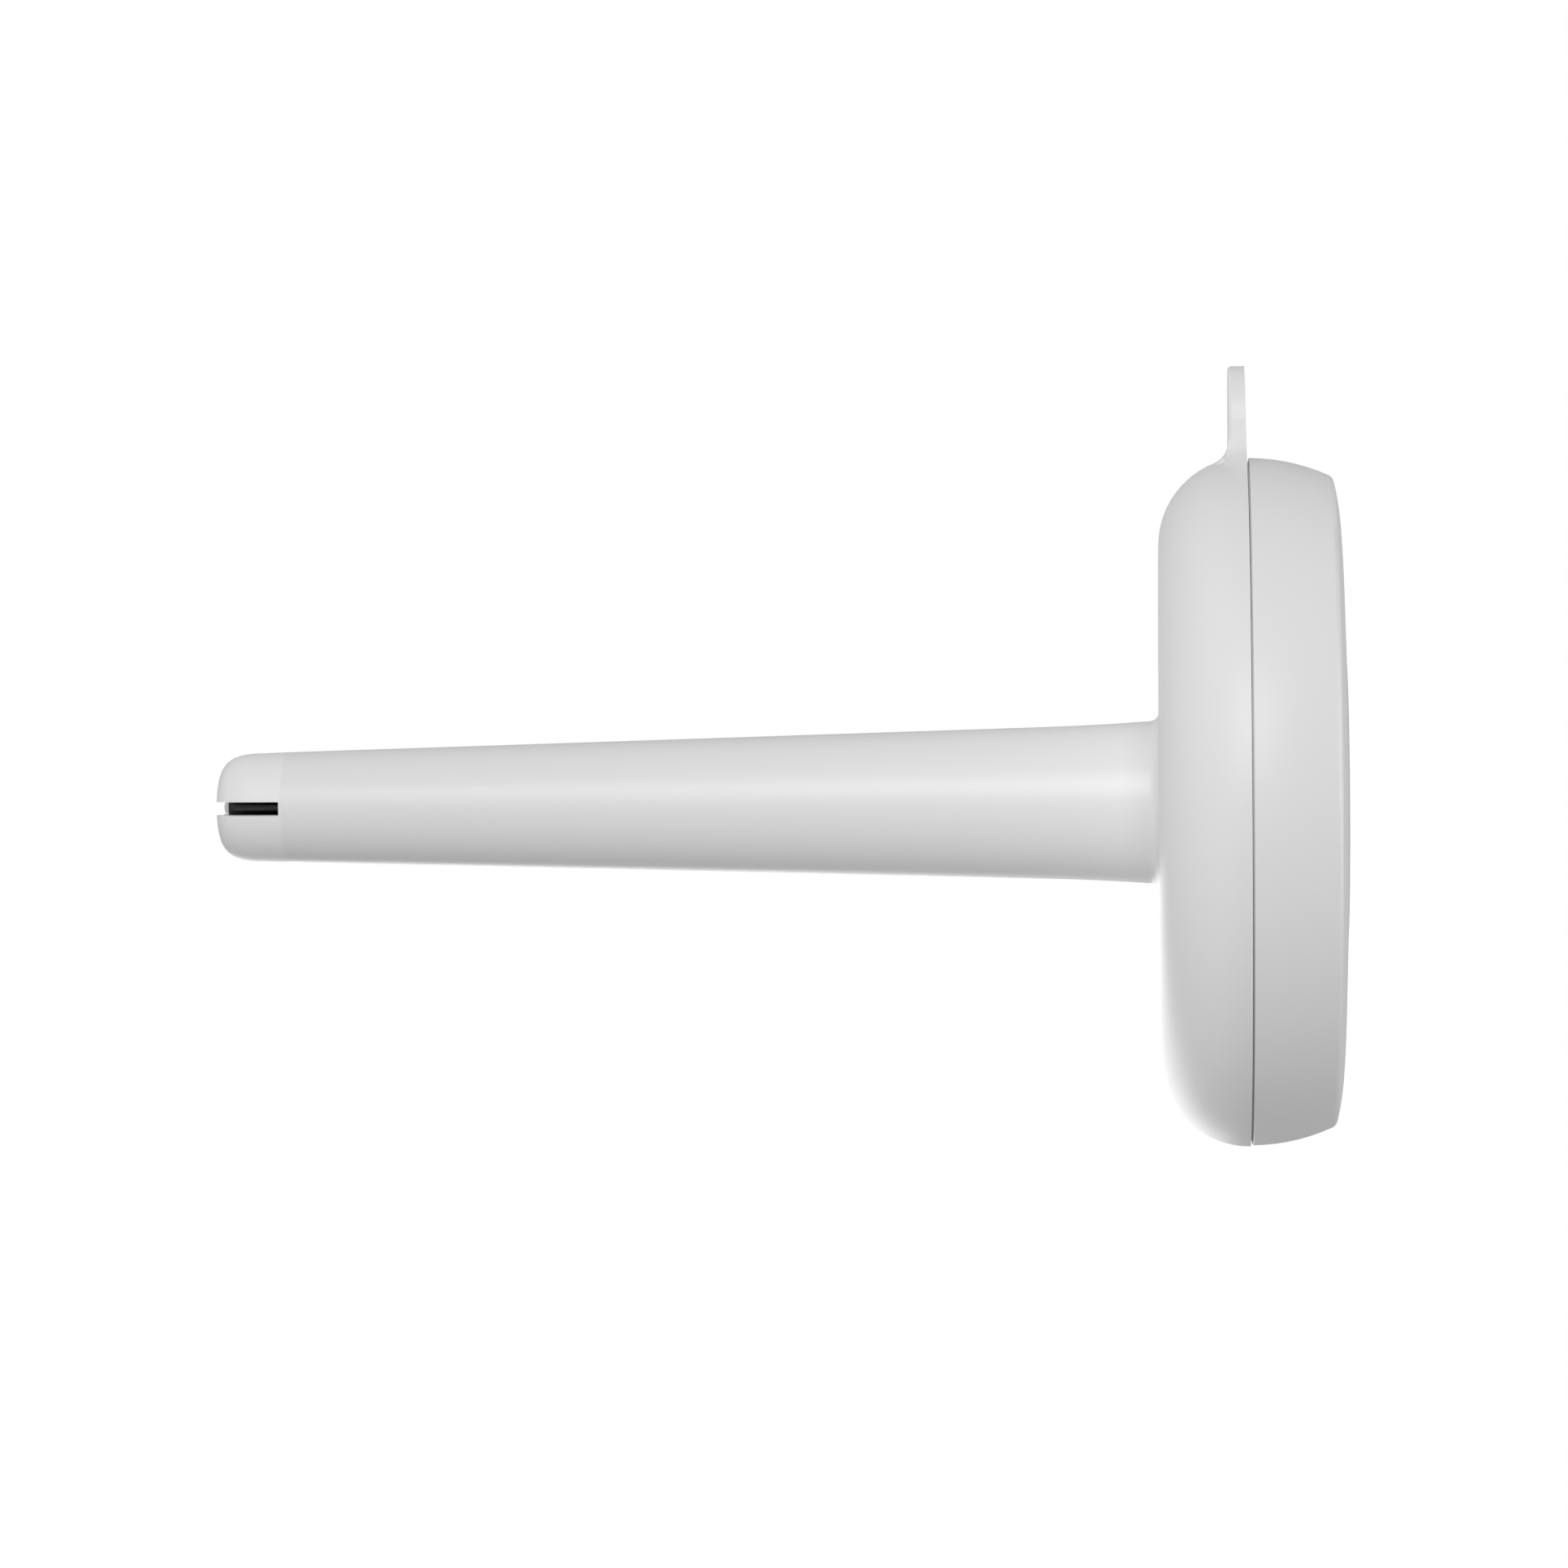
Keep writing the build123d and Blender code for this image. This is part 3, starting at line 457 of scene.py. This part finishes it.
def add_digit(bm, digit, left, bottom, height):
    """Adds one digit from its bars, with its lower left corner at a point on the glass."""
    width, thick = height * DIGIT_WIDTH, height * BAR_WIDTH
    middle, top = bottom + height / 2, bottom + height
    centre = {
        "a": (left + width / 2, top), "b": (left + width, middle + height / 4),
        "c": (left + width, middle - height / 4), "d": (left + width / 2, bottom),
        "e": (left, middle - height / 4), "f": (left, middle + height / 4),
        "g": (left + width / 2, middle),
    }
    for bar in BARS[digit]:
        flat = bar in "adg"
        length = (width if flat else height / 2) - thick * BAR_GAP
        size = (length, thick, BAR_THICKNESS) if flat else (thick, length, BAR_THICKNESS)
        where = (*centre[bar], glass_high.z + BAR_LIFT + BAR_THICKNESS / 2)
        add_block(bm, size, where, thick * BAR_POINT, upright_only=True)


DIGIT_HEIGHT, DIGIT_STEP = 12.5 * MM, 9.2 * MM
SMALL_HEIGHT = DIGIT_HEIGHT * 0.45
POINT_SIDE, POINT_CORNER, POINT_BACK = 1.3 * MM, 0.4 * MM, 10.9 * MM
UNIT_LEFT, SIGN_LEFT = 2.0 * MM, 0.6 * MM

bm = bmesh.new()
digit_bottom = -DIGIT_HEIGHT / 2 - 0.5 * MM
digit_left = -16.0 * MM
for digit in "246":
    add_digit(bm, digit, digit_left, digit_bottom, DIGIT_HEIGHT)
    digit_left += DIGIT_STEP
point_place = (digit_left - POINT_BACK, digit_bottom, glass_high.z + BAR_LIFT + BAR_THICKNESS / 2)
add_block(bm, (POINT_SIDE, POINT_SIDE, BAR_THICKNESS), point_place, POINT_CORNER, upright_only=True)
add_digit(bm, "C", digit_left + UNIT_LEFT, digit_bottom + DIGIT_HEIGHT - SMALL_HEIGHT, SMALL_HEIGHT)
add_digit(bm, "1", digit_left + SIGN_LEFT, digit_bottom, SMALL_HEIGHT)
finish_piece(bm, "reading", ink_dark, "float")

# %% [markdown]
# The small ring of the degree sign is spun rather than built from bars. It is a separate piece,
# because a ring made round the Z axis has to be moved to its place after it is spun.

# %% The degree sign
SIGN_INNER, SIGN_OUTER, SIGN_DROP = 0.45 * MM, 0.85 * MM, 0.2 * MM

bm = bmesh.new()
ring_low = glass_high.z + BAR_LIFT
add_ring(bm, SIGN_INNER, SIGN_OUTER, ring_low, ring_low + BAR_THICKNESS, steps=24)
sign_place = (digit_left + SIGN_LEFT, digit_bottom + DIGIT_HEIGHT - SIGN_DROP, 0)
bmesh.ops.translate(bm, vec=sign_place, verts=bm.verts)
finish_piece(bm, "degree_sign", ink_dark, "float")

# %% [markdown]
# ## The window's trim
#
# A thin grey ring frames the window and hides the edge of its seat. It follows the dome, so its
# section starts as a strip on the dome's slope and is spun once round. It turns with the cover.

# %% The window's trim ring
window_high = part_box("display_window")[1]
DOME_RADIUS = 972.0 * MM
TRIM_WIDTH, TRIM_HEIGHT = 2.2 * MM, 0.12 * MM
TRIM_GAP = 0.15 * MM
TRIM_SLOPE = 0.15 * MM


def dome_height(radius):
    """The height of the domed top at a radius."""
    return window_high.z - radius**2 / (2 * DOME_RADIUS)


bm = bmesh.new()
inner, outer = window_high.x + TRIM_GAP, window_high.x + TRIM_WIDTH
section = [bm.verts.new(point) for point in (
    (inner, 0, dome_height(inner) - TRIM_HEIGHT), (outer, 0, dome_height(outer) - TRIM_HEIGHT),
    (outer, 0, dome_height(outer)), (outer - TRIM_SLOPE, 0, dome_height(outer) + TRIM_HEIGHT),
    (inner, 0, dome_height(inner) + TRIM_HEIGHT))]
edges = [bm.edges.new((section[i - 1], section[i])) for i in range(len(section))]
bmesh.ops.spin(bm, geom=section + edges, cent=(0, 0, 0), axis=(0, 0, 1), dvec=(0, 0, 0),
               angle=math.tau, steps=160, use_merge=True, use_duplicate=False)
finish_piece(bm, "window_trim", trim_grey, "cover")

# %% [markdown]
# ## The weld bead
#
# The guard is welded to the stem, and the weld leaves a hair-thin bead in the bevel between them. A
# small round section is spun once round. It is glossier than what is round it and painted a little
# paler, a painted highlight, so it reads as a fine light line.

# %% The weld bead between stem and guard
stem_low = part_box("stem_tube")[0]
guard_low, guard_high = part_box("guard_cap")
BEAD_RADIUS = 0.16 * MM
BEAD_RISE = BEAD_RADIUS * 0.6
joint_radius = (guard_high.x - guard_low.x) / 2
bm = bmesh.new()
bead = bmesh.ops.create_circle(bm, cap_ends=False, radius=BEAD_RADIUS, segments=10)["verts"]
bmesh.ops.rotate(bm, cent=(0, 0, 0), matrix=Matrix.Rotation(math.pi / 2, 3, "X"), verts=bead)
bead_centre = (joint_radius - BEAD_RADIUS, 0, stem_low.z + BEAD_RISE)
bmesh.ops.translate(bm, vec=bead_centre, verts=bead)
bmesh.ops.spin(bm, geom=bm.verts[:] + bm.edges[:], cent=(0, 0, 0), axis=(0, 0, 1), dvec=(0, 0, 0),
               angle=math.tau, steps=128, use_merge=True, use_duplicate=False)
finish_piece(bm, "weld_bead", bead_painted_highlight, "float", smooth=True)

# %% [markdown]
# ## On the circuit board
#
# Little of the board shows while the float is closed, but the mesh files are read on their own, so
# it carries what makes it a board: two chips on its underside, one of them with legs on all four
# sides, and two rows of capacitors with bright solder at their ends. Loops place what repeats.

# %% Components on the circuit board
board_low, board_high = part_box("circuit_board")


# The shares of a small part's length that its body and each end take, where an end's middle is, and
# how high the solder climbs.
BODY_SHARE, END_SHARE, END_PLACE, SOLDER_SHARE = 0.7, 0.16, 0.43, 0.9
CHIP_LENGTH, CHIP_WIDTH, CHIP_HEIGHT = 1.9 * MM, 1.1 * MM, 0.7 * MM
COLUMN_PLACE, ROW_STEP, FIRST_ROW = 27.2, 5.2, 10.4  # in mm


def add_chip_part(parts, solder, x, y, length, width, height):
    """Adds one small two-ended part and the solder at its ends."""
    body_size = (length * BODY_SHARE, width, height)
    add_block(parts, body_size, (x, y, board_high.z + height / 2), width * 0.1)
    for end in (-1, 1):
        add_block(solder, (length * END_SHARE, width, height * SOLDER_SHARE),
                  (x + end * length * END_PLACE, y, board_high.z + height * SOLDER_SHARE / 2),
                  width * 0.08)


parts, solder = bmesh.new(), bmesh.new()
for row in range(5):
    for column in (-1, 1):
        add_chip_part(parts, solder, column * COLUMN_PLACE * MM, (row * ROW_STEP - FIRST_ROW) * MM,
                      CHIP_LENGTH, CHIP_WIDTH, CHIP_HEIGHT)
finish_piece(parts, "capacitors", part_tan, "float")
finish_piece(solder, "solder_ends", plated_steel, "float")

CHIP_SIDE, CHIP_X, CHIP_Y, CHIP_BEVEL = 7 * MM, 7 * MM, 12 * MM, 0.12 * MM
bm = bmesh.new()
add_block(bm, (CHIP_SIDE, CHIP_SIDE, 1.0 * MM), (CHIP_X, CHIP_Y, board_low.z - 0.5 * MM),
          CHIP_BEVEL)
add_block(bm, (4 * MM, 5 * MM, 1.2 * MM), (8 * MM, -13 * MM, board_low.z - 0.6 * MM), CHIP_BEVEL)
finish_piece(bm, "controller_chips", chip_black, "float")

LEG_PLACE, LEG_LENGTH, LEG_WIDTH, LEG_HEIGHT = 3.9 * MM, 0.9 * MM, 0.3 * MM, 0.15 * MM
LEGS_A_SIDE, LEG_STEP, LEG_DROP = 8, 0.75, 0.09 * MM
bm = bmesh.new()
for turn in range(4):
    for leg in range(LEGS_A_SIDE):
        along = (leg - (LEGS_A_SIDE - 1) / 2) * LEG_STEP * MM
        spot = Matrix.Rotation(turn * math.pi / 2, 3, "Z") @ Vector((LEG_PLACE, along, 0))
        wide, deep = (LEG_LENGTH, LEG_WIDTH) if turn % 2 == 0 else (LEG_WIDTH, LEG_LENGTH)
        add_block(bm, (wide, deep, LEG_HEIGHT),
                  (spot.x + CHIP_X, spot.y + CHIP_Y, board_low.z - LEG_DROP))
finish_piece(bm, "chip_legs", plated_steel, "float")

# %% [markdown]
# ## The room
#
# The object is shown against plain white, lit by three big soft lights. The key light stands at the
# camera's shoulder, the widest one hangs over the dome, and a third fills in from behind. The room
# glows too, most strongly from the stem's end, which brightens the underside of the float. The
# white that the camera sees is brighter than the light that the room gives, so a surface turned
# away from the lights can turn grey. A pale floor lies well below.


# %% Lights, world and floor
def softbox(name, direction, distance, side, strength):
    """A square soft light that looks at the middle of the object. strength is the brightness that it
    gives to a white surface that faces it."""
    data = bpy.data.lights.new(name, "AREA")
    data.size = side
    data.energy = strength * math.pi**2 * distance**2
    lamp = bpy.data.objects.new(name, data)
    bpy.context.scene.collection.objects.link(lamp)
    away = Vector(direction).normalized()
    lamp.location = middle + away * distance
    lamp.rotation_mode = "QUATERNION"
    lamp.rotation_quaternion = away.to_track_quat("Z", "Y")


low_corner, high_corner = (Vector(corner) for corner in cad_box)
middle = (low_corner + high_corner) / 2
softbox("key_light", (0.42, 0.90, 0.0), distance=1.0, side=0.5, strength=0.43)
softbox("dome_light", (0.05, -0.10, 1.0), distance=1.0, side=0.8, strength=0.38)
softbox("back_light", (-0.30, -0.95, -0.30), distance=1.0, side=0.6, strength=0.25)

world = bpy.data.worlds.new("white_room")
bpy.context.scene.world = world
world.use_nodes = True
backdrop = world.node_tree.nodes["Background"]
backdrop.inputs["Color"].default_value = grey(1.0)
ROOM_GLOW = 0.35
STEM_END_GLOW = 0.83
room = Wiring(world.node_tree)
direction = room.node("ShaderNodeTexCoord", {}, {}, "Generated")
height = room.node("ShaderNodeSeparateXYZ", {}, {"Vector": direction}, "Z")
glow = (0 - height).at_least(0) * STEM_END_GLOW + ROOM_GLOW
seen = room.node("ShaderNodeLightPath", {}, {}, "Is Camera Ray")
room.feed(backdrop.inputs["Strength"], seen + (1 - seen) * glow)
bpy.context.scene.view_settings.view_transform = "Standard"
bpy.context.scene.view_settings.look = "None"

FLOOR_RADIUS, FLOOR_DROP = 0.3, 0.11
bm = bmesh.new()
bmesh.ops.create_circle(bm, cap_ends=True, radius=FLOOR_RADIUS, segments=96)
bmesh.ops.translate(bm, vec=(0, 0, low_corner.z - FLOOR_DROP), verts=bm.verts)
floor_mesh = bpy.data.meshes.new("floor")
bm.to_mesh(floor_mesh)
bm.free()
floor_mesh.materials.append(moulded("floor_paint", 0.78, 0.8))
floor = bpy.data.objects.new("floor", floor_mesh)
bpy.context.scene.collection.objects.link(floor)
floor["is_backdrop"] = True
print("floor at", round(floor_mesh.vertices[0].co.z, 3), "m")

# %% [markdown]
# ## The camera
#
# The view is a product view from the side with a long lens: the stem lies to the left and the float
# to the right, so the camera's up is the direction of the tether tab. The float's end is turned a
# few degrees towards the camera, and the whole is rolled by a third of a degree. The aim is a point
# on the stem, and the lens follows from the distance and from how much should fit in the frame.

# %% Camera
aim = Vector((3.28, 0, -60.28)) * MM
VIEW_DISTANCE = 897.2 * MM
VIEW_WIDTH = 252.13 * MM
turn, roll = math.radians(4.08), math.radians(0.352)
back = Vector((0, math.cos(turn), math.sin(turn)))
right = Vector((0, -math.sin(turn), math.cos(turn)))
up = back.cross(right)
right, up = (right * math.cos(roll) - up * math.sin(roll),
             right * math.sin(roll) + up * math.cos(roll))
SENSOR_WIDTH = 36.0
camera_data = bpy.data.cameras.new("camera")
camera_data.sensor_width = SENSOR_WIDTH
camera_data.lens = SENSOR_WIDTH * VIEW_DISTANCE / VIEW_WIDTH
camera = bpy.data.objects.new("camera", camera_data)
bpy.context.scene.collection.objects.link(camera)
camera.matrix_world = Matrix.Translation(aim + back * VIEW_DISTANCE) @ Matrix(
    (right, up, back)).transposed().to_4x4()
bpy.context.scene.camera = camera
print("lens", round(camera_data.lens, 1), "mm")

# %% [markdown]
# ## Done
#
# The visual model's box is set beside the frame's box, and the most that it grew is printed. The
# visual model has to stay inside the frame's box.

# %% Sizes and finish
visual_box = [list(corner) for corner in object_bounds()]
growth = [abs(new - old) for corners in zip(visual_box, cad_box) for new, old in zip(*corners)]
print("grew by at most", round(max(growth) / MM, 2), "mm")
